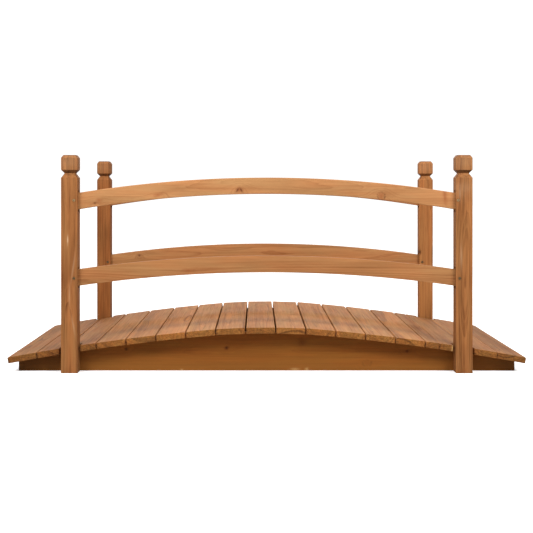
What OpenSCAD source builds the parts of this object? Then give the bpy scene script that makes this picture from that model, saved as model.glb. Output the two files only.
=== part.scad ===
// Garden moon bridge in stained softwood, millimetres, +Z up.
// The origin is on the ground under the middle of the span. +X runs along the walkway, and the
// front side frame is towards -Y. Two arched beams carry the deck boards, and the posts stand
// against the beams' outer faces with two arched rails let into them on each side.

/* [Span] */
// Overall width, over the outer faces of the posts
bridge_width = 700; // [560:5:1000]
// Distance from each end of a beam to the middle of its post
post_inset = 147.5; // [60:0.5:220]

/* [Beams] */
// Thickness of each side beam
beam_thickness = 28; // [18:1:45]
// Height of a beam at the middle of the span
beam_height = 107; // [96:1:150]
// Radius of the crown, the tighter middle arc of a beam's top
crown_radius = 2080; // [1800:10:2600]
// How far the crown arc reaches each way from the middle of the span
crown_reach = 143; // [100:1:200]
// Radius of the flanks, the flatter arcs that run down to the beam's ends
flank_radius = 5745; // [4500:5:9000]
// Degrees by which the flanks break away downwards where they leave the crown
flank_break = 1; // [0.4:0.1:2]
// How far the deck runs on past each end of the beams
deck_overhang = 20.5; // [0:0.5:50]

/* [Deck] */
// Width of a deck board
board_width = 78.4; // [70:0.1:86]
// Width of the narrow board that fills out the deck
filler_width = 37.5; // [20:0.5:79]
// Thickness of the deck boards
board_thickness = 16.5; // [12:0.5:24]
// Gap between neighbouring boards, measured along the beams
board_gap = 3.6; // [1:0.1:5]
// Gap after the narrow board and between the last boards, which are set closer
tight_gap = 0.9; // [0.5:0.1:5]
// How far the board ends stay inside the posts' outer faces
board_setback = 8; // [0:1:30]

/* [Posts] */
// Side of the square posts
post_size = 45; // [36:1:60]
// Height of the posts
post_height = 595; // [540:5:760]
// Height of the cap block, from the post's top to the neck
cap_height = 40.5; // [30:0.5:50]
// Height of the bevel round the top of the cap
cap_bevel_height = 8; // [3:0.5:15]
// Width of the bevel round the top of the cap
cap_bevel_width = 5.5; // [3:0.5:12]
// Height of the V-shaped neck under the cap
neck_height = 22; // [16:1:28]
// Height of the neck's upper slope, from the cap in to the narrowest place
neck_upper_height = 9.5; // [5:0.5:12]
// Depth of the V-shaped neck
neck_depth = 8.5; // [4:0.5:14]

/* [Rails] */
// Height of a rail
rail_height = 45; // [30:1:60]
// Thickness of a rail
rail_thickness = 20; // [14:1:28]
// Drop from the posts' tops to the top rail's upper edge at mid-span
top_rail_drop = 61.5; // [50:0.5:90]
// Radius of the top rail's upper edge
top_rail_radius = 3200; // [2600:20:5000]
// Drop from the top rail's upper edge to the lower rail's, at mid-span
rail_spacing = 214.5; // [180:0.5:250]
// Radius of the lower rail's upper edge
lower_rail_radius = 3640; // [2600:20:5000]
// How far each rail end is let into its post
tenon_length = 28; // [12:1:34]

/* [Clearances] */
// Room between a post and the notch in the deck on each side of it
notch_play = 7; // [2:0.5:12]
// Room between a post's inner face and the back of the notch
notch_back_play = 3; // [1:0.5:8]
// Room above a rail in its mortise, at the post's face
mortise_play = 6; // [1:0.5:8]
// Room below a rail's tip in its mortise
mortise_under_play = 1; // [0.5:0.5:4]
// Room beside a rail in its mortise
mortise_side_play = 0.3; // [0.1:0.1:1]
// Room under a deck board along the line where it bears on a beam
bearing_play = 0.1; // [0:0.05:0.4]
// Bevel along the long edges of the planed timber
edge_ease = 2; // [0.5:0.25:4]

/* [Hidden] */
// Whole deck boards to the left and to the right of the filler board
boards_left = 14;
boards_right = 3;
board_count = boards_left + 1 + boards_right;

SIDES = ["left", "right"];
FACES = ["front", "back"];

function board_name(i) = str("deck_board_", i < 10 ? "0" : "", i);

BEAM_TINT = "#8a5328";
BOARD_TINT = "#b98a62";
FILLER_TINT = "#ad7c53";
POST_TINT = "#a4683a";
RAIL_TINT = "#cf9663";

// Facets in a whole turn of the long arcs
ARC_FACETS = 1440;
// How far a cutter stands out past the face that it cuts
CUT_MARGIN = 5;
// Degrees by which a rail's sweep runs on past its square-cut tips
SWEEP_MARGIN = 0.5;

function degrees_of(length, radius) = length / radius * 180 / PI;
function length_of(angle, radius) = angle * PI / 180 * radius;
function front_or_back(face) = face == "front" ? -1 : 1;
function left_or_right(side) = side == "left" ? -1 : 1;

// The beams' top line: a crown arc, with a flatter arc running down from each end of it.
// Places on it are given by their distance from mid-span along the line.
crown_angle = asin(crown_reach / crown_radius);
flank_angle = crown_angle + flank_break;
crown_run = length_of(crown_angle, crown_radius);
crown_z = beam_height - crown_radius;
flank_x = crown_reach - flank_radius * sin(flank_angle);
flank_z = crown_z + crown_radius * cos(crown_angle) - flank_radius * cos(flank_angle);
// The crown's arc stays above a flank for a stretch past the break, and its cut ends halfway along that
crown_cut_reach = crown_reach + tan(flank_break) / (1 / crown_radius - 1 / flank_radius);

function on_crown(along) = abs(along) <= crown_run;
function line_angle(along) = on_crown(along)
    ? degrees_of(along, crown_radius)
    : sign(along) * (flank_angle + degrees_of(abs(along) - crown_run, flank_radius));
function line_x(along) = on_crown(along)
    ? crown_radius * sin(line_angle(along))
    : sign(along) * flank_x + flank_radius * sin(line_angle(along));
function line_z(along) = on_crown(along)
    ? crown_z + crown_radius * cos(line_angle(along))
    : flank_z + flank_radius * cos(line_angle(along));

// The deck, laid out along that line
filler_index = boards_left + 1;
board_length = bridge_width - 2 * board_setback;

function board_span(i) = i == filler_index ? filler_width : board_width;
function gap_after(i) = i < filler_index ? board_gap : tight_gap;
function board_start(i) = i <= 1 ? 0 : board_start(i - 1) + board_span(i - 1) + gap_after(i - 1);
deck_run = board_start(board_count) + board_span(board_count);
function board_middle(i) = board_start(i) + board_span(i) / 2 - deck_run / 2;

beam_half = line_x(deck_run / 2) - deck_overhang;

// Side frames
post_x = beam_half - post_inset;
post_y = (bridge_width - post_size) / 2;
beam_face_y = bridge_width / 2 - post_size;
neck_z = post_height - cap_height - neck_upper_height;
notch_half = post_size / 2 + notch_play;
notch_y = beam_face_y - notch_back_play;

// Rails, by the height of the upper edge at mid-span and its radius
top_rail_z = post_height - top_rail_drop;
lower_rail_z = top_rail_z - rail_spacing;
rail_face_x = post_x - post_size / 2;
rail_tip_x = rail_face_x + tenon_length;

function upper_edge(x, top, radius) = top - radius + sqrt(radius * radius - x * x);
function lower_edge(x, top, radius) = upper_edge(x, top - rail_height, radius - rail_height);

// A rectangle about the origin with its corners cut off
module eased_rectangle(width, height) {
    x = width / 2;
    y = height / 2;
    polygon([
        [-x + edge_ease, -y], [x - edge_ease, -y], [x, -y + edge_ease], [x, y - edge_ease],
        [x - edge_ease, y], [-x + edge_ease, y], [-x, y - edge_ease], [-x, -y + edge_ease]
    ]);
}

// The beam's outline, seen from the front: the two flanks, and the crown cut across between them
module beam_outline() {
    blank_height = 2 * beam_height;
    difference() {
        intersection() {
            translate([-beam_half, 0])
                square([2 * beam_half, blank_height]);
            translate([flank_x, flank_z])
                circle(r = flank_radius, $fn = ARC_FACETS);
            translate([-flank_x, flank_z])
                circle(r = flank_radius, $fn = ARC_FACETS);
        }
        difference() {
            translate([-crown_cut_reach, 0])
                square([2 * crown_cut_reach, blank_height]);
            translate([0, crown_z])
                circle(r = crown_radius, $fn = ARC_FACETS);
        }
    }
}

module beam(face) {
    color(BEAM_TINT)
        translate([0, front_or_back(face) * (beam_face_y - beam_thickness / 2), 0])
            rotate([90, 0, 0])
                linear_extrude(height = beam_thickness, center = true)
                    beam_outline();
}

// The clearance that the deck leaves round one post
module post_notch(face, side) {
    depth = bridge_width / 2 - notch_y + CUT_MARGIN;
    y = front_or_back(face) * (notch_y + depth / 2);
    translate([left_or_right(side) * post_x, y, post_height / 2])
        cube([2 * notch_half, depth, post_height], center = true);
}

function board_meets_post(i, side) =
    abs(line_x(board_middle(i)) - left_or_right(side) * post_x)
        < notch_half + board_span(i) / 2 + board_thickness;

// A board lies flat against the beams' line at its own middle, square to the walkway
module deck_board(i) {
    along = board_middle(i);
    color(i == filler_index ? FILLER_TINT : BOARD_TINT)
        difference() {
            translate([line_x(along), 0, line_z(along)])
                rotate([0, line_angle(along), 0])
                    translate([0, 0, bearing_play + board_thickness / 2])
                        rotate([90, 0, 0])
                            linear_extrude(height = board_length, center = true)
                                eased_rectangle(board_span(i), board_thickness);
            for (face = FACES, side = SIDES)
                if (board_meets_post(i, side)) post_notch(face, side);
        }
}

// Outline of what is cut off one side of a post: x from the side face, y up the post
module post_side_cuts() {
    neck_spread = (neck_depth + CUT_MARGIN) / neck_depth;
    neck_lower_height = neck_height - neck_upper_height;
    bevel_fall = cap_bevel_height * (cap_bevel_width + CUT_MARGIN) / cap_bevel_width;
    polygon([
        [CUT_MARGIN, neck_z - neck_lower_height * neck_spread],
        [CUT_MARGIN, neck_z + neck_upper_height * neck_spread],
        [-neck_depth, neck_z]
    ]);
    polygon([
        [-cap_bevel_width, post_height],
        [CUT_MARGIN, post_height - bevel_fall],
        [CUT_MARGIN, post_height + CUT_MARGIN],
        [-cap_bevel_width, post_height + CUT_MARGIN]
    ]);
}

// The pocket for one rail end, in a post whose inner face is towards +X
module mortise(top, radius) {
    low = lower_edge(rail_tip_x, top, radius) - mortise_under_play;
    high = upper_edge(rail_face_x, top, radius) + mortise_play;
    width = rail_thickness + 2 * mortise_side_play;
    translate([post_size / 2 - tenon_length, -width / 2, low])
        cube([tenon_length + CUT_MARGIN, width, high - low]);
}

module post(face, side) {
    turn = side == "left" ? 0 : 180;
    color(POST_TINT)
        translate([left_or_right(side) * post_x, front_or_back(face) * post_y, 0])
            rotate([0, 0, turn])
                difference() {
                    linear_extrude(height = post_height)
                        eased_rectangle(post_size, post_size);
                    for (quarter = [0 : 3])
                        rotate([0, 0, 90 * quarter])
                            translate([post_size / 2, 0, 0])
                                rotate([90, 0, 0])
                                    linear_extrude(height = 2 * post_size, center = true)
                                        post_side_cuts();
                    mortise(top_rail_z, top_rail_radius);
                    mortise(lower_rail_z, lower_rail_radius);
                }
}

// An arched rail with plumb ends, which stop against the floors of the mortises
module rail(face, top, radius) {
    half_sweep = asin(rail_tip_x / (radius - rail_height)) + SWEEP_MARGIN;
    color(RAIL_TINT)
        translate([0, front_or_back(face) * post_y, top - radius])
            intersection() {
                rotate([90, 0, 0])
                    rotate([0, 0, 90 - half_sweep])
                        rotate_extrude(angle = 2 * half_sweep, $fn = ARC_FACETS)
                            translate([radius - rail_height / 2, 0])
                                eased_rectangle(rail_height, rail_thickness);
                translate([-rail_tip_x, -rail_thickness, 0])
                    cube([2 * rail_tip_x, 2 * rail_thickness, radius + CUT_MARGIN]);
            }
}

for (face = FACES) {
    beam(face);
    rail(face, top_rail_z, top_rail_radius);
    rail(face, lower_rail_z, lower_rail_radius);
    for (side = SIDES)
        post(face, side);
}
for (i = [1 : board_count])
    deck_board(i);
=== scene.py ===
"""A garden moon bridge in brown stained fir: planed timber, screws and a plain pale studio."""
import math
import random
from collections import namedtuple

import bmesh
import bpy
from mathutils import Matrix, Vector


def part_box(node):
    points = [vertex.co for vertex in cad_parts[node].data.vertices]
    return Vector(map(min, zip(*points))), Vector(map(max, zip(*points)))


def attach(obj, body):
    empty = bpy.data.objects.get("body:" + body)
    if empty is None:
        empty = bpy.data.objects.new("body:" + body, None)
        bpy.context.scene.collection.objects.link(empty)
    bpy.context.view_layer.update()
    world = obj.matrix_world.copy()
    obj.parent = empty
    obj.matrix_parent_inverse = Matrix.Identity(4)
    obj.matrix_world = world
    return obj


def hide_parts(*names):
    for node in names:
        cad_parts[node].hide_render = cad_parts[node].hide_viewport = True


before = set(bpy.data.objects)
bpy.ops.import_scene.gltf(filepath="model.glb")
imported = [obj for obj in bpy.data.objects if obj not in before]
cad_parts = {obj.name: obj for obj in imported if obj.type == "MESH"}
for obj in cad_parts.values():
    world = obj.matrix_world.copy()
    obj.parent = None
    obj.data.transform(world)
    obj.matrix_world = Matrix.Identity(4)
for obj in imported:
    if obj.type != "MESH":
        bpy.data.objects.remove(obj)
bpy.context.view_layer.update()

BODY = "root"
SEED = 20
FACES = ("front", "back")
SIDES = ("left", "right")
LEVELS = ("top", "lower")
BOARD_COUNT = 18
LENGTHWAYS = (1, 0, 0)
CROSSWAYS = (0, 1, 0)
UPRIGHT = (0, 0, 1)

# Sizes of the timber, in metres
RAIL_HEIGHT = 0.045
CAP_HEIGHT = 0.0405
CAP_BEVEL_HEIGHT = 0.008
CAP_BEVEL_WIDTH = 0.0055
NECK_HEIGHT = 0.022
NECK_UPPER_HEIGHT = 0.0095
NECK_DEPTH = 0.0085
CROWN_RADIUS = 2.080
CROWN_REACH = 0.143
FLANK_RADIUS = 5.745
FLANK_BREAK = math.radians(1.0)

# Room that the joinery leaves
NOTCH_PLAY = 0.007
NOTCH_BACK_PLAY = 0.003
MORTISE_PLAY = 0.006
MORTISE_UNDER_PLAY = 0.001
MORTISE_SIDE_PLAY = 0.0003
CUT_MARGIN = 0.02

# Eased edges and the unevenness that planing leaves
BOARD_EASE = 0.0024
POST_EASE = 0.0012
RAIL_EASE = 0.0024
BEAM_EASE = 0.0014
SAWN_EASE = 0.0007
EASE_STEPS = 3
EASE_ANGLE = math.radians(35)
SAWN_EASE_ANGLE = math.radians(60)
SMOOTH_ANGLE = math.radians(30)
BOARD_WAVER = 0.0009
WAVER_SPACING = 0.12

# Steps of the swept arcs, and parts that a board is divided in along and across
RAIL_STEPS = 72
FLANK_STEPS = 26
CROWN_STEPS = 16
BOARD_STATIONS = 18
BOARD_STRIPS = 4
SWEEP_MARGIN = math.radians(0.5)

# Shares of a face's normal that tell a top, a sawn end and an eased edge
TOP_SHARE = 0.9
SAWN_SHARE = 0.6
EASED_SHARE = 0.12

# Points nearer than this are one point, or lie on one corner
SAME_POINT = 1e-6
SAME_CORNER = 1e-5

# Screws through the posts into the rails, from the face towards -Y
SCREW_RADIUS = 0.0036
SCREW_DEPTH = 0.003
SCREW_SIDES = 24
SCREW_RIM = SCREW_RADIUS * 0.18
SCREW_DISH = 0.000175
SCREW_EASE = SCREW_RADIUS * 0.05
SLOT_REACH = SCREW_RADIUS * 0.62
SLOT_HALF_WIDTH = SCREW_RADIUS * 0.13
SLOT_DEPTH = SCREW_DEPTH * 0.6
SCREW_PROUD = 0.0003
SCREW_INSET = 0.0095
SCREW_LIFT = {"top": 0.004, "lower": 0.0005}
SCREW_STRAY = {("front", "right", "top"): -0.0042}


def let_go():
    """Leaves edit mode and selects nothing."""
    active = bpy.context.view_layer.objects.active
    if active is not None and active.mode != "OBJECT":
        bpy.ops.object.mode_set(mode="OBJECT")
    bpy.ops.object.select_all(action="DESELECT")


def hold(piece):
    """Makes one piece the active and only selected one."""
    let_go()
    piece.select_set(True)
    bpy.context.view_layer.objects.active = piece


def settle(piece):
    """Puts the piece's place, turn and scale into its mesh."""
    hold(piece)
    bpy.ops.object.transform_apply(location=True, rotation=True, scale=True)


def block(name, low, high):
    """A squared-up blank between two corners."""
    let_go()
    low, high = Vector(low), Vector(high)
    bpy.ops.mesh.primitive_cube_add(size=1, location=(low + high) / 2, scale=high - low)
    piece = bpy.context.object
    piece.name = name
    settle(piece)
    return piece


def edit(piece, mode):
    """Opens the piece in edit mode with nothing selected."""
    hold(piece)
    bpy.ops.object.mode_set(mode="EDIT")
    bpy.ops.mesh.select_mode(type=mode)
    bpy.ops.mesh.select_all(action="DESELECT")


def pick(piece, rule):
    """Selects, in edit mode, the vertices, edges or faces that fit the rule."""
    mesh = bmesh.from_edit_mesh(piece.data)
    mode = bpy.context.tool_settings.mesh_select_mode
    parts = mesh.verts if mode[0] else mesh.edges if mode[1] else mesh.faces
    for part in parts:
        part.select_set(bool(rule(part)))
    mesh.select_flush_mode()
    bmesh.update_edit_mesh(piece.data)


def looks_up(face):
    """Whether a face is the top of a timber, level or leaning a little."""
    return face.normal.z > TOP_SHARE


def apply_modifier(piece, kind, **settings):
    """Works a modifier into the piece's mesh."""
    hold(piece)
    modifier = piece.modifiers.new(kind.lower(), kind)
    for key, value in settings.items():
        setattr(modifier, key, value)
    bpy.ops.object.modifier_apply(modifier=modifier.name)


def cut_away(piece, cutter):
    """Takes the cutter's shape out of the piece, and puts the cutter away."""
    apply_modifier(piece, "BOOLEAN", operation="DIFFERENCE", solver="EXACT", object=cutter)
    put_away(cutter)


def tidy_mesh(piece):
    """Merges doubles and turns every face outwards."""
    edit(piece, "VERT")
    bpy.ops.mesh.select_all(action="SELECT")
    bpy.ops.mesh.remove_doubles(threshold=SAME_POINT)
    bpy.ops.mesh.normals_make_consistent(inside=False)
    let_go()


def slice_along(piece, axis, stations):
    """Adds rings of edges square to an axis, at the given places."""
    normal = Vector((0, 0, 0))
    normal[axis] = 1
    edit(piece, "FACE")
    for station in stations:
        bpy.ops.mesh.select_all(action="SELECT")
        bpy.ops.mesh.bisect(plane_co=normal * station, plane_no=normal)
    let_go()


def stations_between(low, high, count):
    """The places that divide a length in equal parts."""
    return [low + (high - low) * step / count for step in range(1, count)]


def ease_edges(piece, width, angle=EASE_ANGLE):
    """Rounds the planed edges over."""
    apply_modifier(
        piece, "BEVEL", width=width, segments=EASE_STEPS, limit_method="ANGLE",
        angle_limit=angle, use_clamp_overlap=True,
    )
    hold(piece)
    bpy.ops.object.shade_smooth_by_angle(angle=SMOOTH_ANGLE)


def note_grain(piece, to_timber):
    """Keeps each point's place in the timber, and marks sawn ends and eased edges.

    In the timber's own axes x runs along the grain, y across the face and z through it.
    """
    mesh = piece.data
    grain = mesh.attributes.new("grain", "FLOAT_VECTOR", "POINT")
    for vertex, place in zip(mesh.vertices, grain.data):
        place.vector = to_timber @ vertex.co
    turn = to_timber.to_3x3()
    sawn = mesh.attributes.new("sawn_end", "FLOAT", "FACE")
    worn = mesh.attributes.new("worn_edge", "FLOAT", "FACE")
    for face in mesh.polygons:
        normal = turn @ face.normal
        sawn.data[face.index].value = float(abs(normal.x) > SAWN_SHARE)
        worn.data[face.index].value = float(min(abs(normal.y), abs(normal.z)) > EASED_SHARE)


def timber_axes(along, across, middle):
    """The change from the bridge's frame to a timber's own axes."""
    along, across = Vector(along).normalized(), Vector(across).normalized()
    rows = Matrix((along, across, along.cross(across)))
    return rows.to_4x4() @ Matrix.Translation(-Vector(middle))


def stands_for(piece, node):
    """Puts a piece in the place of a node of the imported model."""
    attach(piece, BODY)
    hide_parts(node)


def copy_of(model, name, place):
    """A copy of a model, with a mesh of its own, at its place."""
    piece = model.copy()
    piece.data = model.data.copy()
    piece.name = name
    bpy.context.collection.objects.link(piece)
    piece.matrix_world = place
    settle(piece)
    return piece


def put_away(*models):
    """Removes blanks, cutters and models that have served."""
    for model in models:
        bpy.data.objects.remove(model)


def middle_of(node):
    """The middle of a node's box."""
    low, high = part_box(node)
    return (low + high) / 2


# Deck boards


def lie_of(node):
    """How a board lies: its middle, its lean in radians and its width, length and thickness."""
    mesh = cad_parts[node].data
    up = Vector((0, 0, 0))
    for face in mesh.polygons:
        if looks_up(face):
            up += face.normal * face.area
    lean = math.atan2(up.x, up.z)
    level = Matrix.Rotation(-lean, 3, "Y")
    points = [level @ vertex.co for vertex in mesh.vertices]
    low = Vector([min(point[axis] for point in points) for axis in range(3)])
    high = Vector([max(point[axis] for point in points) for axis in range(3)])
    return level.inverted() @ ((low + high) / 2), lean, high - low


def is_arris(edge, half):
    """Whether an edge runs along one of a blank's four long corners."""
    return all(
        abs(abs(vertex.co.x) - half.x) < SAME_CORNER and abs(abs(vertex.co.z) - half.z) < SAME_CORNER
        for vertex in edge.verts
    )


def board_blank(size):
    """A planed board with eased arrises, level and about the origin."""
    half = size / 2
    blank = block("board_blank", -half, half)
    slice_along(blank, 1, stations_between(-half.y, half.y, BOARD_STATIONS))
    slice_along(blank, 0, stations_between(-half.x, half.x, BOARD_STRIPS))
    edit(blank, "EDGE")
    pick(blank, lambda edge: is_arris(edge, half))
    bpy.ops.mesh.bevel(offset=BOARD_EASE, segments=EASE_STEPS, affect="EDGES")
    let_go()
    return blank


def notch_blocks(node):
    """The room left round each post that stands in this board's way."""
    board_low, board_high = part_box(node)
    for face in FACES:
        for side in SIDES:
            low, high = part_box(f"{face}_{side}_post")
            if high.x + NOTCH_PLAY < board_low.x or low.x - NOTCH_PLAY > board_high.x:
                continue
            outer, inner = -CUT_MARGIN, NOTCH_BACK_PLAY
            if face == "back":
                outer, inner = -inner, -outer
            yield block(
                "notch",
                (low.x - NOTCH_PLAY, low.y + outer, board_low.z - CUT_MARGIN),
                (high.x + NOTCH_PLAY, high.y + inner, board_high.z + CUT_MARGIN),
            )


def deck():
    """The planed boards, copied from one blank for each width and notched round the posts."""
    waver = bpy.data.textures.new("planing_waver", "CLOUDS")
    waver.noise_scale = WAVER_SPACING
    blanks = {}
    for number in range(1, BOARD_COUNT + 1):
        node = f"deck_board_{number:02d}"
        middle, lean, size = lie_of(node)
        width = round(size.x, 4)
        if width not in blanks:
            blanks[width] = board_blank(size)
        place = Matrix.Translation(middle) @ Matrix.Rotation(lean, 4, "Y")
        board = copy_of(blanks[width], f"planed_board_{number:02d}", place)
        for cutter in notch_blocks(node):
            cut_away(board, cutter)
        apply_modifier(board, "DISPLACE", texture=waver, strength=BOARD_WAVER, texture_coords="LOCAL")
        ease_edges(board, SAWN_EASE, SAWN_EASE_ANGLE)
        across = (math.cos(lean), 0, -math.sin(lean))
        note_grain(board, timber_axes(CROSSWAYS, across, middle))
        stands_for(board, node)
        yield node, board
    put_away(*blanks.values())


# Side beams


def beam_arcs(high):
    """The height of a beam's tips, and the steps, angle and centre of the arcs along its upper edge."""
    crown_angle = math.asin(CROWN_REACH / CROWN_RADIUS)
    flank_angle = crown_angle + FLANK_BREAK
    crown_z = high.z - CROWN_RADIUS
    flank_x = CROWN_REACH - FLANK_RADIUS * math.sin(flank_angle)
    flank_z = crown_z + CROWN_RADIUS * math.cos(crown_angle) - FLANK_RADIUS * math.cos(flank_angle)
    tip_angle = math.asin((high.x - flank_x) / FLANK_RADIUS)
    tip_z = flank_z + FLANK_RADIUS * math.cos(tip_angle)
    return tip_z, (
        (FLANK_STEPS, tip_angle - flank_angle, (-flank_x, 0, flank_z)),
        (CROWN_STEPS, 2 * crown_angle, (0, 0, crown_z)),
        (FLANK_STEPS, tip_angle - flank_angle, (flank_x, 0, flank_z)),
    )


def arched_beam():
    """The front beam: a strip swept over the flanks and the crown, then drawn down to the ground."""
    low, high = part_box("front_beam")
    tip_z, arcs = beam_arcs(high)
    let_go()
    # A plane one metre long, of which only the edge at the beam's left tip is kept
    start = Vector((low.x + 0.5, (low.y + high.y) / 2, tip_z))
    bpy.ops.mesh.primitive_plane_add(size=1, location=start)
    beam = bpy.context.object
    beam.scale.y = high.y - low.y
    settle(beam)
    edit(beam, "VERT")
    pick(beam, lambda vertex: vertex.co.x > start.x)
    bpy.ops.mesh.delete(type="VERT")
    bpy.ops.mesh.select_all(action="SELECT")
    for steps, angle, centre in arcs:
        bpy.ops.mesh.spin(steps=steps, angle=angle, center=centre, axis=(0, -1, 0))
    bpy.ops.mesh.select_all(action="SELECT")
    bpy.ops.mesh.extrude_region_move(TRANSFORM_OT_translate={"value": (0, 0, -high.z)})
    bpy.ops.transform.resize(value=(1, 1, 0), center_override=(0, 0, 0))
    let_go()
    tidy_mesh(beam)
    ease_edges(beam, BEAM_EASE)
    return beam


# Rails


def rail_radius(rail):
    """Radius of a rail's upper edge, from the rail's own box."""
    low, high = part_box(rail)
    reach = (high.x - low.x) / 2
    drop = high.z - low.z
    return (drop * drop - RAIL_HEIGHT * RAIL_HEIGHT + reach * reach) / (2 * (drop - RAIL_HEIGHT))


def upper_edge(rail, x):
    """Height of a rail's upper edge at a place along the bridge."""
    radius = rail_radius(rail)
    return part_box(rail)[1].z - radius + math.sqrt(radius * radius - x * x)


def bowed_rail(level):
    """The front rail of one level: its section swept round an arc, with its tips cut upright."""
    node = f"front_{level}_rail"
    low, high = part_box(node)
    radius = rail_radius(node)
    centre = Vector((0, (low.y + high.y) / 2, high.z - radius))
    half_sweep = math.asin(high.x / (radius - RAIL_HEIGHT)) + SWEEP_MARGIN
    start = Matrix.Rotation(-half_sweep, 3, "Y") @ Vector((0, 0, radius - RAIL_HEIGHT / 2))
    let_go()
    bpy.ops.mesh.primitive_plane_add(
        size=1, location=centre + start, rotation=(0, math.pi / 2 - half_sweep, 0)
    )
    rail = bpy.context.object
    rail.scale = (RAIL_HEIGHT, high.y - low.y, 1)
    settle(rail)
    edit(rail, "FACE")
    bpy.ops.mesh.select_all(action="SELECT")
    bpy.ops.mesh.spin(steps=RAIL_STEPS, angle=2 * half_sweep, center=centre, axis=(0, -1, 0))
    for tip in (low.x, high.x):
        outwards = (math.copysign(1, tip), 0, 0)
        bpy.ops.mesh.select_all(action="SELECT")
        bpy.ops.mesh.bisect(plane_co=(tip, 0, 0), plane_no=outwards, use_fill=True, clear_outer=True)
    let_go()
    tidy_mesh(rail)
    ease_edges(rail, RAIL_EASE)
    return rail


# Posts


def mortise_block(rail, face_x):
    """The pocket in a left post's inner face that takes a rail's left end."""
    low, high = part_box(rail)
    return block(
        "mortise",
        (low.x, low.y - MORTISE_SIDE_PLAY, low.z - MORTISE_UNDER_PLAY),
        (face_x + CUT_MARGIN, high.y + MORTISE_SIDE_PLAY, upper_edge(rail, face_x) + MORTISE_PLAY),
    )


def grow_top(post, rise, share):
    """Draws the picked top of a post on upwards, and spreads or narrows it about its middle."""
    bpy.ops.mesh.extrude_region_move(TRANSFORM_OT_translate={"value": (0, 0, rise)})
    picked = [vertex.co for vertex in bmesh.from_edit_mesh(post.data).verts if vertex.select]
    middle = sum(picked, Vector((0, 0, 0))) / len(picked)
    bpy.ops.transform.resize(value=(share, share, 1), center_override=middle)


def capped_post():
    """The front left post: a squared shaft, a V-shaped neck and a chamfered cap."""
    low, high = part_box("front_left_post")
    width = high.x - low.x
    neck_share = 1 - 2 * NECK_DEPTH / width
    post = block("capped_post", low, (high.x, high.y, high.z - CAP_HEIGHT - NECK_HEIGHT))
    edit(post, "FACE")
    pick(post, looks_up)
    grow_top(post, NECK_HEIGHT - NECK_UPPER_HEIGHT, neck_share)
    grow_top(post, NECK_UPPER_HEIGHT, 1 / neck_share)
    grow_top(post, CAP_HEIGHT - CAP_BEVEL_HEIGHT, 1)
    grow_top(post, CAP_BEVEL_HEIGHT, 1 - 2 * CAP_BEVEL_WIDTH / width)
    let_go()
    for level in LEVELS:
        cut_away(post, mortise_block(f"front_{level}_rail", high.x))
    ease_edges(post, POST_EASE)
    return post


# Side frames


def framed(model, first, node, name, along, across, turn=0.0):
    """One timber of a side frame: the model of the first one, copied to its own place and turned."""
    place = Matrix.Translation(middle_of(node)) @ Matrix.Rotation(turn, 4, "Z")
    piece = copy_of(model, name, place @ Matrix.Translation(-middle_of(first)))
    note_grain(piece, timber_axes(along, across, middle_of(node)))
    stands_for(piece, node)
    return piece


def side_frames():
    """Beams, posts and rails of both sides, each copied from the one at the front or front left."""
    beam, post = arched_beam(), capped_post()
    rails = {level: bowed_rail(level) for level in LEVELS}
    for face in FACES:
        node = f"{face}_beam"
        name = f"arched_beam_{face}"
        piece = framed(beam, "front_beam", node, name, LENGTHWAYS, UPRIGHT)
        yield node, piece, BEAM
        for side in SIDES:
            node = f"{face}_{side}_post"
            name = f"capped_post_{face}_{side}"
            turn = 0.0 if side == "left" else math.pi
            piece = framed(post, "front_left_post", node, name, UPRIGHT, LENGTHWAYS, turn)
            yield node, piece, POST
        for level, rail in rails.items():
            first = f"front_{level}_rail"
            node = f"{face}_{level}_rail"
            name = f"bowed_rail_{face}_{level}"
            piece = framed(rail, first, node, name, LENGTHWAYS, UPRIGHT)
            yield node, piece, RAIL
    put_away(beam, post, *rails.values())


# Screws


def screw_head():
    """One countersunk screw head, facing up, with its rim at the origin's level."""
    let_go()
    bpy.ops.mesh.primitive_cylinder_add(
        vertices=SCREW_SIDES, radius=SCREW_RADIUS, depth=SCREW_DEPTH, location=(0, 0, -SCREW_DEPTH / 2)
    )
    head = bpy.context.object
    edit(head, "FACE")
    pick(head, looks_up)
    bpy.ops.mesh.inset(thickness=SCREW_RIM)
    bpy.ops.transform.translate(value=(0, 0, -SCREW_DISH))
    let_go()
    for x, y in ((SLOT_REACH, SLOT_HALF_WIDTH), (SLOT_HALF_WIDTH, SLOT_REACH)):
        cut_away(head, block("slot", (-x, -y, -SLOT_DEPTH), (x, y, SCREW_DEPTH)))
    ease_edges(head, SCREW_EASE)
    return head


def screw_places(face, chance):
    """Where one side frame's screws sit, and how each is turned."""
    for side in SIDES:
        low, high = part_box(f"{face}_{side}_post")
        x = high.x - SCREW_INSET if side == "left" else low.x + SCREW_INSET
        for level in LEVELS:
            height = upper_edge(f"{face}_{level}_rail", x) - RAIL_HEIGHT / 2 + SCREW_LIFT[level]
            stray = SCREW_STRAY.get((face, side, level), 0)
            yield Vector((x + stray, low.y - SCREW_PROUD, height)), chance.uniform(0, math.pi / 2)


def driven_screws(name, head, places):
    """Copies of the screw head at each place, facing -Y, joined in one mesh."""
    copies = []
    for point, turn in places:
        facing = Matrix.Rotation(math.pi / 2, 4, "X") @ Matrix.Rotation(turn, 4, "Z")
        copies.append(copy_of(head, name, Matrix.Translation(point) @ facing))
    hold(copies[0])
    for screw in copies:
        screw.select_set(True)
    bpy.ops.object.join()
    joined = bpy.context.object
    joined.name = name
    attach(joined, BODY)
    return joined


# Wiring of finishes


def bare_tree(owner):
    """The node tree of a material or a world, emptied."""
    owner.use_nodes = True
    owner.node_tree.nodes.clear()
    return owner.node_tree


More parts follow.
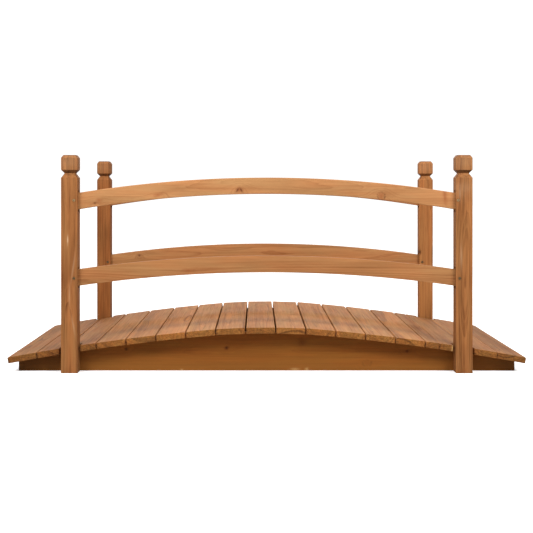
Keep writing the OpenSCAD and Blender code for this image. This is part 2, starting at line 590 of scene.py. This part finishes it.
def put(tree, kind, inputs=None, **settings):
    """Adds a node, with its settings, and sets or links its inputs."""
    made = tree.nodes.new(kind)
    for key, value in settings.items():
        setattr(made, key, value)
    for socket, value in (inputs or {}).items():
        if isinstance(value, bpy.types.NodeSocket):
            tree.links.new(value, made.inputs[socket])
        else:
            made.inputs[socket].default_value = value
    return made


def work_out(tree, operation, *values):
    """One step of arithmetic with numbers."""
    return put(tree, "ShaderNodeMath", dict(enumerate(values)), operation=operation).outputs[0]


def work_out_place(tree, operation, *places):
    """One step of arithmetic with places."""
    return put(tree, "ShaderNodeVectorMath", dict(enumerate(places)), operation=operation).outputs[0]


def times(tree, first, second):
    """One number multiplied by another."""
    return work_out(tree, "MULTIPLY", first, second)


def centred(tree, share):
    """A share from 0 to 1, moved to lie about nought."""
    return work_out(tree, "SUBTRACT", share, 0.5)


def distance(tree, first, second):
    """How far a point lies from nought, from two of its coordinates."""
    square = work_out(tree, "ADD", times(tree, first, first), times(tree, second, second))
    return work_out(tree, "SQRT", square)


def bell(tree, value):
    """Falls off from 1 on both sides of nought."""
    return work_out(tree, "EXPONENT", times(tree, times(tree, value, value), -1))


def noise(tree, place, pattern):
    """A cloudy pattern, drawn out along the fibres, as a share and as a colour."""
    drawn = work_out_place(tree, "MULTIPLY", place, (pattern.along, pattern.across, pattern.across))
    inputs = {"Vector": drawn, "Scale": 1.0, "Detail": pattern.detail, "Roughness": pattern.roughness}
    return put(tree, "ShaderNodeTexNoise", inputs).outputs


def blend(tree, share, first, second, mode="MIX"):
    """A second colour laid over the first one by a share."""
    made = put(tree, "ShaderNodeMix", {0: share, 6: first, 7: second}, data_type="RGBA", blend_type=mode)
    return made.outputs[2]


def ramp(tree, value, stops):
    """A grey ramp through (place, value) stops."""
    made = put(tree, "ShaderNodeValToRGB", {0: value})
    stop_list = made.color_ramp.elements
    while len(stop_list) < len(stops):
        stop_list.new(0.5)
    for element, (place, level) in zip(stop_list, stops):
        element.position = place
        element.color = (level, level, level, 1)
    return made.outputs[0]


def mark(tree, name):
    """A face's mark, as note_grain left it: 0 or 1."""
    return put(tree, "ShaderNodeAttribute", attribute_name=name).outputs["Fac"]


def group_with(name, inputs, outputs):
    """A new group of nodes, and the sockets of what it is given and what it results in."""
    tree = bpy.data.node_groups.new(name, "ShaderNodeTree")
    for side, sockets in (("INPUT", inputs), ("OUTPUT", outputs)):
        for label, kind in sockets.items():
            tree.interface.new_socket(label, in_out=side, socket_type=f"NodeSocket{kind}")
    return tree, tree.nodes.new("NodeGroupInput").outputs, tree.nodes.new("NodeGroupOutput").inputs


def stain(red, green, blue):
    """A colour given as eight-bit screen values."""
    channels = []
    for value in (red, green, blue):
        value /= 255
        channels.append(value / 12.92 if value <= 0.04045 else ((value + 0.055) / 1.055) ** 2.4)
    return (*channels, 1.0)


def tinted(colour, shares):
    """A colour with its red, green and blue each multiplied by a share."""
    return tuple(min(1.0, channel * share) for channel, share in zip(colour, shares)) + (1.0,)


# Kinds of timber and their blemishes

# Stain of the early and the late wood, how much single timbers differ, width of a year ring, strength
# of rings and streaks, reach of the log's heart, tint of sawn ends, wear of the arrises, shine, how dark
# the painted shade on the tips is and where it starts, and how pale the painted floor light on the foot
# is
Timber = namedtuple(
    "Timber", "early late spread ring figure streak heart ends wear shine soak soak_from foot",
    defaults=(0.0, 0.9, 0.0),
)
BOARD = Timber(
    early=stain(169, 118, 75), late=stain(107, 66, 34), spread=0.1, ring=0.0042, figure=0.6, streak=0.8,
    heart=(0.02, 0.09), ends=(0.82, 0.7, 0.41, 1), wear=0.6, shine=0.12,
)
BEAM = Timber(
    early=stain(131, 77, 28), late=stain(94, 49, 13), spread=0.03, ring=0.0055, figure=0.22, streak=0.75,
    heart=(0.02, 0.05), ends=(0.6, 0.5, 0.4, 1), wear=0.2, shine=0.08,
    # Painted shade: the beams' tips are darkened where the deck's overhang shades them
    soak=0.5, soak_from=0.8, foot=0.35,
)
# On the posts the sawn-end tint is end grain and painted shade: the neck's downward slope counts as sawn
POST = Timber(
    early=stain(153, 100, 57), late=stain(87, 48, 20), spread=0.03, ring=0.0036, figure=0.55, streak=1.2,
    heart=(0.008, 0.03), ends=(0.5, 0.42, 0.3, 1), wear=0.15, shine=0.1,
)
RAIL = Timber(
    early=stain(164, 113, 70), late=stain(119, 72, 37), spread=0.03, ring=0.005, figure=0.45, streak=0.7,
    heart=(0.03, 0.08), ends=(0.6, 0.5, 0.4, 1), wear=0.2, shine=0.12,
)

# Where a timber may be cut from its log, how its year rings may differ, and its spread in warmth as a
# share of its spread in lightness
LOG_REACH = 9
HEART_DRIFT = 0.03
RING_RANGE = (0.8, 1.25)
COOL_SPREAD = 0.35

# One timber as it was cut: its own stain, its place from the log's heart, ring width and half length
Cut = namedtuple("Cut", "early late heart ring half_length")

# How much lighter single timbers are than their kind, and how much cooler; the outer deck boards are
# darker, as painted light falloff towards the ends of the bridge
TONES_AND_PAINTED_FALLOFF = {
    "front_top_rail": (1.21, 1.08), "back_top_rail": (1.1, 1.0), "back_lower_rail": (1.1, 1.01),
    "front_left_post": (0.97, 0.99), "front_right_post": (1.05, 1.01),
    "back_left_post": (0.95, 0.9), "back_right_post": (1.3, 1.01),
    # Painted shade: boards 01 to 04 and 16 to 18 are darker for the light's falloff towards the ends
    "deck_board_01": (0.76, 0.96), "deck_board_02": (0.79, 0.96), "deck_board_03": (0.84, 0.97),
    "deck_board_04": (0.92, 0.98), "deck_board_05": (1.13, 1.0), "deck_board_06": (1.17, 1.0),
    "deck_board_07": (1.17, 1.0), "deck_board_08": (1.06, 1.0), "deck_board_11": (1.08, 1.0),
    "deck_board_12": (1.24, 1.0), "deck_board_13": (1.13, 1.0), "deck_board_14": (1.13, 1.0),
    "deck_board_16": (0.92, 1.0), "deck_board_17": (0.88, 1.0), "deck_board_18": (0.88, 1.0),
}

# Drift of the stain towards red and towards green
REDDER = (1.04, 0.97, 0.92, 1)
GREENER = (0.97, 1.025, 1.02, 1)

# Tints of knots, painted tip shade, late wood in sawn ends, painted floor light on the foot, worn
# arrises
RED_KNOT = (1.15, 0.85, 0.8)
DARK_KNOT = (0.35, 0.28, 0.28)
SHADED_TIP = (0.3, 0.3, 0.3)
LATE_SAWN = (0.5, 0.5, 0.5)
# Painted light: the beam's foot is made paler and cooler, as if lit from the white floor
FLOOR_LIGHT_TINT = (1.5, 1.9, 2.6)
PALE_ARRIS = (1.3, 1.3, 1.3)

# Patterns: scale along and across the grain, detail and roughness
Pattern = namedtuple("Pattern", "along across detail roughness", defaults=(2.0, 0.5))
SWAY = Pattern(1.8, 8, 1.0)
RIPPLE = Pattern(9, 80)
CLOUD = Pattern(5, 26, 3.0, 0.55)
STREAK = Pattern(2.2, 130, 3.0, 0.65)
FIBRE = Pattern(9, 420, 3.0, 0.6)
HAIR = Pattern(34, 1900, 1.0)
HUE = Pattern(6, 40)
MOTTLE = Pattern(60, 210, 3.0, 0.6)
RUBBED = Pattern(14, 60, 3.0)
WOBBLE = Pattern(1.1, 1.1, 3.0)
BREAKS = Pattern(1.9, 1.9, 1.0)
SPOTS = Pattern(900, 900, 3.0)

# Year rings: early to late wood, how far the log sways and ripples, and how uneven the years are
RING_PROFILE = ((0.0, 0.0), (0.35, 0.1), (0.75, 0.62), (0.92, 1.0), (1.0, 0.05))
SWAY_REACH = 0.03
RIPPLE_REACH = 0.0018
GROWTH_SCALE = 55
GROWTH_DETAIL = 2.0
GROWTH_SWING = 3.0
FAINTEST_RING = 0.35

# Depth of the stain, how much each pattern deepens it, and the ramps of hue, sawn ends, rubbed edges
# and painted floor light on the foot
STAIN_DEPTH = 0.2
MARKS = ((CLOUD, 0.9), (STREAK, 1.3), (FIBRE, 0.9), (HAIR, 0.35))
HUE_TURN = ((0.36, 0.0), (0.64, 1.0))
MOTTLE_RANGE = ((0.32, 0.6), (0.68, 1.15))
RUBBED_RANGE = ((0.35, 0.0), (0.7, 1.0))
FOOT_SCALE = 10
FOOT_RANGE = ((0.0, 1.0), (0.5, 0.0))

# Relief and roughness of late wood, fibres and hairs
LATE_RELIEF = 0.45
FIBRE_RELIEF = 0.55
HAIR_RELIEF = 0.3
RELIEF_STRENGTH = 0.35
RELIEF_HEIGHT = 0.0006
BASE_ROUGHNESS = 0.52
FIBRE_ROUGHNESS = 0.24
LATE_ROUGHNESS = -0.1

# Form of a blemish, in its own radii: where its core, rim, tail and bent rings lie, and how fast they
# fall off
CORE_FALL = 1.3
RIM_FALL = 4.2
RIM_PLACE = 4.0
RIM_BREAKS = ((0.38, 0.1), (0.6, 1.0))
TAIL_FALL = 0.16
TAIL_LEAN = -0.08
TAIL_PLACE = 0.4
TAIL_WOBBLE = 1.2
TAIL_START = ((0.2, 0.0), (0.9, 1.0))
BEND_ALONG = 0.32
BEND_ACROSS = 0.55

# How strongly each kind of blemish shows its red core, dark core, rim, stained tail and bare wood, and
# how far it bends the year rings
Look = namedtuple("Look", "red dark rim tail bare bend", defaults=(0.0,) * 6)
LOOKS = {
    "pin_knot": Look(red=0.4, dark=0.75, tail=0.2, bend=0.9),
    "red_knot": Look(red=0.6, rim=0.1, tail=0.35, bend=0.8),
    "ring_knot": Look(red=0.65, rim=0.6, tail=0.4, bend=1.2),
    "open_knot": Look(red=0.3, rim=0.45, bend=1.0),
    "black_knot": Look(red=0.4, dark=0.9, tail=0.2, bend=0.9),
    "tick": Look(red=0.5, dark=0.8, bend=0.5),
    "spike_knot": Look(red=0.65),
    "smudge": Look(red=0.25, dark=0.3),
    # Painted shade, laid over the beam's left tip and the first board's end beside it
    "painted_shade": Look(dark=0.55),
    "sliver": Look(bare=0.9),
    "pale_streak": Look(bare=0.28),
    # Paler wood; over the posts' caps it is painted light
    "pale_patch": Look(bare=0.14),
}

# Blemishes by piece: kind, place along and across the grain from the middle, half length and half width
# in metres, and slant in degrees
Blemish = namedtuple("Blemish", "kind along across long wide slant", defaults=(0,))
# Painted light: the posts' caps are made paler, as lit most strongly from above
PAINTED_CAP_LIGHT = Blemish("pale_patch", 0.275, 0.0, 0.034, 0.060)
BLEMISHES = {
    "front_top_rail": (
        Blemish("pin_knot", -0.470, -0.024, 0.005, 0.004),
        Blemish("red_knot", -0.459, -0.016, 0.008, 0.006),
        Blemish("red_knot", -0.298, -0.001, 0.012, 0.006, 10),
        Blemish("red_knot", -0.075, 0.012, 0.009, 0.008),
        Blemish("tick", -0.080, 0.012, 0.0032, 0.0090, -32),
        Blemish("tick", -0.070, 0.012, 0.0030, 0.0085, 28),
        Blemish("ring_knot", 0.313, -0.005, 0.010, 0.012),
        Blemish("spike_knot", 0.487, -0.004, 0.007, 0.030, 4),
    ),
    "back_lower_rail": (Blemish("pin_knot", -0.421, 0.004, 0.006, 0.005),),
    "front_lower_rail": (Blemish("red_knot", -0.214, 0.004, 0.016, 0.005),),
    "front_beam": (
        Blemish("pin_knot", -0.388, 0.006, 0.006, 0.005),
        Blemish("black_knot", -0.111, 0.009, 0.007, 0.006),
        Blemish("smudge", 0.098, 0.026, 0.016, 0.014),
        Blemish("open_knot", 0.277, -0.033, 0.012, 0.008),
        Blemish("pin_knot", 0.388, 0.000, 0.007, 0.005),
        Blemish("sliver", -0.235, -0.051, 0.005, 0.003),
        Blemish("sliver", 0.078, -0.050, 0.014, 0.0045),
        Blemish("sliver", 0.111, -0.050, 0.006, 0.0055),
        # Painted shade over the beam's left tip
        Blemish("painted_shade", -0.640, -0.030, 0.110, 0.080),
    ),
    "front_left_post": (
        Blemish("sliver", 0.0655, -0.004, 0.014, 0.0022),
        Blemish("pale_streak", -0.013, 0.0105, 0.050, 0.0025, 8),
        Blemish("pale_streak", -0.088, 0.0005, 0.038, 0.0022),
        Blemish("pale_streak", -0.170, 0.0120, 0.032, 0.0028, -10),
        PAINTED_CAP_LIGHT,
    ),
    "front_right_post": (
        Blemish("pale_streak", 0.018, -0.0085, 0.042, 0.0035),
        Blemish("pale_streak", 0.190, -0.0120, 0.022, 0.0025),
        Blemish("pale_patch", 0.205, 0.0, 0.030, 0.060),
        PAINTED_CAP_LIGHT,
    ),
    "back_left_post": (PAINTED_CAP_LIGHT,),
    "back_right_post": (Blemish("pin_knot", -0.006, -0.021, 0.009, 0.006), PAINTED_CAP_LIGHT),
    "deck_board_15": (Blemish("smudge", -0.040, 0.0, 0.075, 0.020),),
    "deck_board_16": (Blemish("sliver", -0.343, -0.006, 0.006, 0.0024),),
    # Painted shade at the corner of the first board's end, by the beam's left tip
    "deck_board_01": (Blemish("painted_shade", -0.342, -0.0395, 0.006, 0.007),),
}

# Zinc plate: its colour and rubbed spots, and the paler plate of screws above a height
DULL_PLATE = stain(62, 47, 25)
RUBBED_PLATE = stain(120, 94, 58)
PALE_UPPER_PLATE = stain(168, 138, 96)
PALE_ABOVE = ((0.38, 0.0), (0.42, 0.75))
PLATE_ROUGHNESS = 0.25
SPOT_ROUGHNESS = 0.35
PLATE_METAL = 0.4


# Fir and screw finishes


def blemish_group():
    """A knot or stain in its own axes and radii: core, broken rim, tail and bent year rings."""
    outputs = {label: "Float" for label in ("Core", "Rim", "Tail", "Swell")}
    tree, given, result = group_with("timber_blemish", {"Place": "Vector"}, outputs)
    place = given["Place"]
    wobble = centred(tree, noise(tree, place, WOBBLE)[0])
    breaks = noise(tree, place, BREAKS)[0]
    along, across, _ = put(tree, "ShaderNodeSeparateXYZ", {0: place}).outputs
    spread = work_out(tree, "ADD", wobble, distance(tree, along, across))
    core = bell(tree, times(tree, spread, CORE_FALL))
    rim = bell(tree, work_out(tree, "MULTIPLY_ADD", spread, RIM_FALL, -RIM_PLACE))
    rim = times(tree, rim, ramp(tree, breaks, RIM_BREAKS))
    drift = work_out(tree, "MULTIPLY_ADD", along, TAIL_LEAN, across)
    drift = work_out(tree, "SUBTRACT", drift, TAIL_PLACE)
    drift = work_out(tree, "MULTIPLY_ADD", wobble, TAIL_WOBBLE, drift)
    tail = times(tree, bell(tree, drift), bell(tree, times(tree, along, TAIL_FALL)))
    tail = times(tree, tail, ramp(tree, along, TAIL_START))
    swell = bell(tree, times(tree, along, BEND_ALONG))
    swell = times(tree, swell, bell(tree, times(tree, across, BEND_ACROSS)))
    for label, value in (("Core", core), ("Rim", rim), ("Tail", tail), ("Swell", swell)):
        tree.links.new(value, result[label])
    return tree


def swayed(tree, place, log, pattern, reach):
    """A place in the log, pushed across the fibres by a pattern."""
    push = work_out_place(tree, "SUBTRACT", noise(tree, log, pattern)[1], (0.5, 0.5, 0.5))
    return work_out_place(tree, "MULTIPLY_ADD", push, (0, reach, reach), place)


def year_rings(tree, log, swell, ring):
    """The late wood of the year rings round the log's swaying heart, some years fainter than others."""
    place = swayed(tree, log, log, SWAY, SWAY_REACH)
    place = swayed(tree, place, log, RIPPLE, RIPPLE_REACH)
    _, across, through = put(tree, "ShaderNodeSeparateXYZ", {0: place}).outputs
    from_heart = work_out(tree, "ADD", distance(tree, across, through), swell)
    growth = put(
        tree, "ShaderNodeTexNoise",
        {"W": times(tree, from_heart, GROWTH_SCALE), "Detail": GROWTH_DETAIL}, noise_dimensions="1D",
    ).outputs[0]
    years = work_out(tree, "DIVIDE", from_heart, ring)
    years = work_out(tree, "MULTIPLY_ADD", growth, GROWTH_SWING, years)
    late = ramp(tree, work_out(tree, "FRACT", years), RING_PROFILE)
    vigour = put(
        tree, "ShaderNodeTexWhiteNoise", {"W": work_out(tree, "FLOOR", years)}, noise_dimensions="1D"
    ).outputs[0]
    vigour = work_out(tree, "MULTIPLY_ADD", vigour, 1 - FAINTEST_RING, FAINTEST_RING)
    return times(tree, late, vigour)


def fir_group():
    """Fir cut from a log whose heart runs along x: year rings, fibres and clouded stain."""
    tree, given, result = group_with(
        "stained_fir",
        {
            "Log": "Vector", "Swell": "Float", "Ring": "Float", "Figure": "Float", "Streak": "Float",
            "Early": "Color", "Late": "Color",
        },
        {"Colour": "Color", "Rings": "Float", "Height": "Float", "Roughness": "Float"},
    )
    log = given["Log"]
    late = year_rings(tree, log, given["Swell"], given["Ring"])
    drawn = {pattern: noise(tree, log, pattern)[0] for pattern, _ in MARKS}
    marks = 0.0
    for pattern, share in MARKS:
        marks = work_out(tree, "MULTIPLY_ADD", centred(tree, drawn[pattern]), share, marks)
    depth = work_out(tree, "MULTIPLY_ADD", late, given["Figure"], STAIN_DEPTH)
    depth = work_out(tree, "MULTIPLY_ADD", marks, given["Streak"], depth)
    depth = work_out(tree, "MINIMUM", work_out(tree, "MAXIMUM", depth, 0.0), 1.0)
    hue = blend(tree, ramp(tree, noise(tree, log, HUE)[0], HUE_TURN), REDDER, GREENER)
    colour = blend(tree, depth, given["Early"], given["Late"])
    colour = blend(tree, 1.0, colour, hue, "MULTIPLY")
    height = work_out(tree, "MULTIPLY_ADD", late, LATE_RELIEF, times(tree, drawn[FIBRE], FIBRE_RELIEF))
    height = work_out(tree, "MULTIPLY_ADD", drawn[HAIR], HAIR_RELIEF, height)
    rough = work_out(tree, "MULTIPLY_ADD", drawn[FIBRE], FIBRE_ROUGHNESS, BASE_ROUGHNESS)
    rough = work_out(tree, "MULTIPLY_ADD", late, LATE_ROUGHNESS, rough)
    for label, value in (("Colour", colour), ("Rings", late), ("Height", height), ("Roughness", rough)):
        tree.links.new(value, result[label])
    return tree


def blemished(tree, colour, grain, blemish, cut, group):
    """The colour with one blemish laid over it, and how far the blemish bends the year rings."""
    look = LOOKS[blemish.kind]
    place = put(
        tree, "ShaderNodeMapping",
        {
            "Vector": grain,
            "Location": (blemish.along, blemish.across, 0),
            "Rotation": (0, 0, math.radians(blemish.slant)),
            "Scale": (blemish.long, blemish.wide, blemish.long),
        },
        vector_type="TEXTURE",
    )
    made = put(tree, "ShaderNodeGroup", {"Place": place.outputs[0]}, node_tree=group).outputs
    dark = tinted(cut.late, DARK_KNOT)
    bare = tuple(math.sqrt(channel) for channel in cut.early)
    for part, share, tint in (
        ("Tail", look.tail, cut.late),
        ("Core", look.red, tinted(cut.late, RED_KNOT)),
        ("Core", look.dark, dark),
        ("Rim", look.rim, dark),
        ("Core", look.bare, bare),
    ):
        if share:
            colour = blend(tree, times(tree, made[part], share), colour, tint)
    return colour, times(tree, made["Swell"], blemish.wide * look.bend)


def floor_lit_foot(tree, colour, across, kind, cut):
    """The colour, paler and cooler towards the foot of a timber: painted light from the white floor."""
    foot = ramp(tree, work_out(tree, "MULTIPLY_ADD", across, FOOT_SCALE, 0.5), FOOT_RANGE)
    return blend(tree, times(tree, foot, kind.foot), colour, tinted(cut.early, FLOOR_LIGHT_TINT))


def shaded_tips(tree, colour, along, kind, cut):
    """The colour, darker towards a timber's tips: painted shade under the deck's overhang."""
    to_tip = work_out(tree, "DIVIDE", work_out(tree, "ABSOLUTE", along), cut.half_length)
    soak = ramp(tree, to_tip, ((kind.soak_from, 0.0), (1.0, 1.0)))
    return blend(tree, times(tree, soak, kind.soak), colour, tinted(cut.late, SHADED_TIP))


def sawn_ends(tree, colour, log, rings, kind):
    """The colour, tinted and mottled on sawn ends; on the posts also painted shade under the cap."""
    mottle = ramp(tree, noise(tree, log, MOTTLE)[0], MOTTLE_RANGE)
    tint = blend(tree, rings, kind.ends, tinted(kind.ends, LATE_SAWN))
    tint = blend(tree, 1.0, tint, mottle, "MULTIPLY")
    return blend(tree, mark(tree, "sawn_end"), colour, blend(tree, 1.0, colour, tint, "MULTIPLY"))


def worn_arrises(tree, colour, log, kind, cut):
    """The colour, rubbed paler in patches along the eased edges."""
    patch = ramp(tree, noise(tree, log, RUBBED)[0], RUBBED_RANGE)
    worn = times(tree, times(tree, mark(tree, "worn_edge"), patch), kind.wear)
    return blend(tree, worn, colour, tinted(cut.early, PALE_ARRIS))


def timber_finish(name, kind, cut, blemishes, groups):
    """The stained finish of one timber, cut at its own place in a log."""
    material = bpy.data.materials.new(name)
    tree = bare_tree(material)
    grain = put(tree, "ShaderNodeAttribute", attribute_name="grain").outputs["Vector"]
    log = work_out_place(tree, "ADD", grain, cut.heart)
    given = {
        "Log": log, "Ring": cut.ring, "Figure": kind.figure, "Streak": kind.streak,
        "Early": cut.early, "Late": cut.late,
    }
    fir = put(tree, "ShaderNodeGroup", given, node_tree=groups["fir"])
    colour, swell = fir.outputs["Colour"], 0.0
    for blemish in blemishes:
        colour, bend = blemished(tree, colour, grain, blemish, cut, groups["blemish"])
        swell = work_out(tree, "ADD", bend, swell)
    if blemishes:
        tree.links.new(swell, fir.inputs["Swell"])
    along, across, _ = put(tree, "ShaderNodeSeparateXYZ", {0: grain}).outputs
    colour = floor_lit_foot(tree, colour, across, kind, cut)
    colour = shaded_tips(tree, colour, along, kind, cut)
    colour = sawn_ends(tree, colour, log, fir.outputs["Rings"], kind)
    colour = worn_arrises(tree, colour, log, kind, cut)
    bump = put(
        tree, "ShaderNodeBump",
        {"Strength": RELIEF_STRENGTH, "Distance": RELIEF_HEIGHT, "Height": fir.outputs["Height"]},
    )
    surface = put(
        tree, "ShaderNodeBsdfPrincipled",
        {
            "Base Color": colour, "Roughness": fir.outputs["Roughness"], "Normal": bump.outputs[0],
            "Specular IOR Level": kind.shine,
        },
    )
    put(tree, "ShaderNodeOutputMaterial", {"Surface": surface.outputs[0]})
    return material


def screw_finish():
    """Dull zinc plate with rubbed spots, paler on the upper screws."""
    material = bpy.data.materials.new("zinc_plated_screw")
    tree = bare_tree(material)
    place = put(tree, "ShaderNodeTexCoord").outputs["Object"]
    spots = noise(tree, place, SPOTS)[0]
    height = put(tree, "ShaderNodeSeparateXYZ", {0: place}).outputs[2]
    colour = blend(tree, spots, DULL_PLATE, RUBBED_PLATE)
    colour = blend(tree, ramp(tree, height, PALE_ABOVE), colour, PALE_UPPER_PLATE)
    rough = work_out(tree, "MULTIPLY_ADD", spots, SPOT_ROUGHNESS, PLATE_ROUGHNESS)
    surface = put(
        tree, "ShaderNodeBsdfPrincipled",
        {"Base Color": colour, "Roughness": rough, "Metallic": PLATE_METAL},
    )
    put(tree, "ShaderNodeOutputMaterial", {"Surface": surface.outputs[0]})
    return material


def wear(piece, material):
    """Gives a piece one finish all over."""
    piece.data.materials.clear()
    piece.data.materials.append(material)


def varied(kind, tone, chance):
    """The early and the late wood of one timber, a little off its kind in lightness and warmth."""
    lift = tone[0] * (1 + chance.uniform(-kind.spread, kind.spread))
    cool = tone[1] * (1 + chance.uniform(-kind.spread, kind.spread) * COOL_SPREAD)
    shares = (lift, lift * cool, lift * cool * cool)
    return tinted(kind.early, shares), tinted(kind.late, shares)


def finish(piece, node, kind, groups, chance):
    """Gives a timber the finish of its kind, cut from a log of its own."""
    early, late = varied(kind, TONES_AND_PAINTED_FALLOFF.get(node, (1, 1)), chance)
    side = chance.choice((-1, 1))
    heart = (
        chance.uniform(-LOG_REACH, LOG_REACH),
        chance.uniform(-HEART_DRIFT, HEART_DRIFT),
        side * chance.uniform(*kind.heart),
    )
    ring = kind.ring * chance.uniform(*RING_RANGE)
    half_length = max(abs(place.vector.x) for place in piece.data.attributes["grain"].data)
    cut = Cut(early, late, heart, ring, half_length)
    wear(piece, timber_finish(f"{piece.name}_fir", kind, cut, BLEMISHES.get(node, ()), groups))


# Studio

# How bright the room and the floor look, and how much of their light reaches the bridge
WHITE = (1, 1, 1, 1)
ROOM_SEEN = 1.1
ROOM_LIGHT = 0.25
FLOOR_SEEN = (0.95, 0.95, 0.95, 1)
FLOOR_GLOW = 0.4
FLOOR_BOUNCE = (0.6, 0.6, 0.6, 1)
FLOOR_SIZE = 60

# Soft boxes far off: bearing from straight ahead, height and spread in degrees, and strength
SoftBox = namedtuple("SoftBox", "bearing height spread strength")
SIDE_BOX = SoftBox(50, 32, 40, 0.35)
OVERHEAD_BOX = SoftBox(180, 78, 75, 1.68)
SOFT_BOX_DISTANCE = 4

# Strip boxes close by: place, what they point at, width and height in metres, and power in watts
StripBox = namedtuple("StripBox", "place aim size power")
FRONT_STRIP = StripBox((1.6, -2.06, 2.1), (0.2, -0.33, 0.3), (1.0, 0.7), 54.5)
BACK_STRIP = StripBox((0, 2.6, 1.43), (0, 0, 0.12), (4.0, 0.3), 21)

# The photograph's viewpoint in metres, lens and film in millimetres, and shift in shares of the film
VIEWPOINT = (-0.0270, -3.2465, 0.5010)
LENS = 71.86
FILM_WIDTH = 36
VIEW_SHIFT = (0.01806, -0.14468)
VIEW_REACH = 100


def seen_and_thrown(tree, seen, thrown):
    """One shader for what the camera sees, and another for the light thrown on the bridge."""
    looked_at = put(tree, "ShaderNodeLightPath").outputs["Is Camera Ray"]
    shaders = {0: looked_at, 1: thrown.outputs[0], 2: seen.outputs[0]}
    return put(tree, "ShaderNodeMixShader", shaders).outputs[0]


def pale_floor():
    """A white floor, which throws only part of its light back up at the bridge."""
    let_go()
    bpy.ops.mesh.primitive_plane_add(size=FLOOR_SIZE, location=(0, 0, 0))
    floor = bpy.context.object
    floor.name = "studio_floor"
    material = bpy.data.materials.new("pale_floor")
    tree = bare_tree(material)
    lit = put(tree, "ShaderNodeBsdfDiffuse", {"Color": FLOOR_SEEN})
    glow = put(tree, "ShaderNodeEmission", {"Color": WHITE, "Strength": FLOOR_GLOW})
    seen = put(tree, "ShaderNodeAddShader", {0: lit.outputs[0], 1: glow.outputs[0]})
    thrown = put(tree, "ShaderNodeBsdfDiffuse", {"Color": FLOOR_BOUNCE})
    put(tree, "ShaderNodeOutputMaterial", {"Surface": seen_and_thrown(tree, seen, thrown)})
    wear(floor, material)


def white_room():
    """White walls, which throw only part of their light on the bridge."""
    world = bpy.data.worlds.new("white_studio")
    tree = bare_tree(world)
    walls = put(tree, "ShaderNodeBackground", {"Color": WHITE, "Strength": ROOM_SEEN})
    dimmed = put(tree, "ShaderNodeBackground", {"Color": WHITE, "Strength": ROOM_LIGHT})
    put(tree, "ShaderNodeOutputWorld", {"Surface": seen_and_thrown(tree, walls, dimmed)})
    bpy.context.scene.world = world


def hung_lamp(name, kind):
    """A new lamp of one kind, hung in the studio."""
    lamp = bpy.data.objects.new(name, bpy.data.lights.new(name, kind))
    bpy.context.collection.objects.link(lamp)
    return lamp


def far_light(name, box, mirror=1):
    """A big soft box far off, on the right or mirrored to the left."""
    lamp = hung_lamp(name, "SUN")
    lamp.data.angle = math.radians(box.spread)
    lamp.data.energy = box.strength
    turn, lift = math.radians(mirror * box.bearing), math.radians(box.height)
    level = math.cos(lift)
    towards = Vector((math.sin(turn) * level, -math.cos(turn) * level, math.sin(lift)))
    lamp.location = towards * SOFT_BOX_DISTANCE
    lamp.rotation_euler = towards.to_track_quat("Z", "Y").to_euler()


def near_light(name, strip, mirror=1):
    """A strip box close by, on the right or mirrored to the left, which the camera doesn't see."""
    lamp = hung_lamp(name, "AREA")
    lamp.data.shape = "RECTANGLE"
    lamp.data.size, lamp.data.size_y = strip.size
    lamp.data.energy = strip.power
    place, aim = (Vector((mirror * x, y, z)) for x, y, z in (strip.place, strip.aim))
    lamp.location = place
    lamp.rotation_euler = (place - aim).to_track_quat("Z", "Y").to_euler()
    lamp.visible_camera = False


def studio():
    """A white room: soft and strip boxes in front, a soft box overhead and a long low strip behind."""
    bpy.context.scene.view_settings.view_transform = "Standard"
    white_room()
    for side, mirror in (("left", -1), ("right", 1)):
        far_light(f"soft_box_{side}", SIDE_BOX, mirror)
        near_light(f"strip_box_{side}", FRONT_STRIP, mirror)
    far_light("soft_box_overhead", OVERHEAD_BOX)
    near_light("strip_box_back", BACK_STRIP)


def camera():
    """The photograph's viewpoint: level, square to the bridge, with the view shifted down."""
    data = bpy.data.cameras.new("viewpoint")
    data.sensor_width = FILM_WIDTH
    data.lens = LENS
    data.shift_x, data.shift_y = VIEW_SHIFT
    data.clip_end = VIEW_REACH
    viewpoint = bpy.data.objects.new("viewpoint", data)
    bpy.context.collection.objects.link(viewpoint)
    viewpoint.location = VIEWPOINT
    viewpoint.rotation_euler = (math.radians(90), 0, 0)
    bpy.context.scene.camera = viewpoint


# Putting it together


def dress():
    """Models every piece and gives it its finish."""
    chance = random.Random(SEED)
    groups = {"blemish": blemish_group(), "fir": fir_group()}
    for node, board in deck():
        finish(board, node, BOARD, groups, chance)
    for node, piece, kind in side_frames():
        finish(piece, node, kind, groups, chance)
    head, plate = screw_head(), screw_finish()
    for face in FACES:
        wear(driven_screws(f"rail_screws_{face}", head, screw_places(face, chance)), plate)
    put_away(head)


dress()
pale_floor()
studio()
camera()
